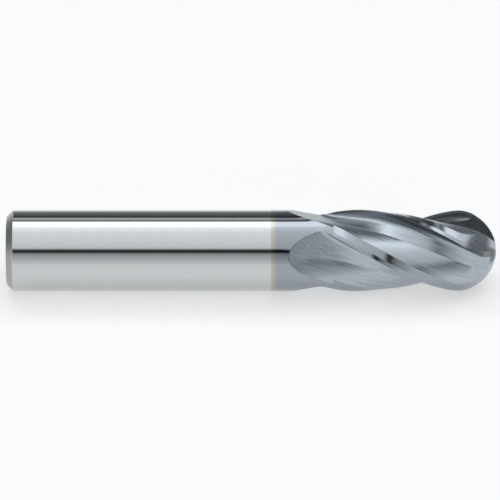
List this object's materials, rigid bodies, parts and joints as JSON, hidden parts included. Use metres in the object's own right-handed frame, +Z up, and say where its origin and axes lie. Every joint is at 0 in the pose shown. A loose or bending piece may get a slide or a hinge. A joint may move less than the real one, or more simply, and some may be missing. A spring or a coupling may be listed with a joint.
{
  "type": "end mill",
  "caption": "Solid carbide ball-nose end mill with helical flutes, a coated fluted end and a plain ground round shank for a collet or tool holder.",
  "frame": {"origin": "centre of the shank's flat back face, on the tool's axis", "axes": "+X along the tool's axis from the back of the shank to the tip; +Z up as the tool lies on its side"},
  "size_m": [0.0762, 0.0126, 0.0126],
  "materials": {
    "ground_carbide": "bare tungsten carbide, ground and polished",
    "coating_tint": "thin golden edge of the coating",
    "coated_carbide": "blue-grey hard coating over ground carbide"
  },
  "bodies": {
    "root": {"shank": "ground_carbide", "coating_edge": "coating_tint", "neck": "coated_carbide", "core": "coated_carbide", "tooth_1": "coated_carbide", "tooth_2": "coated_carbide", "tooth_3": "coated_carbide", "tooth_4": "coated_carbide"}
  },
  "joints": []
}
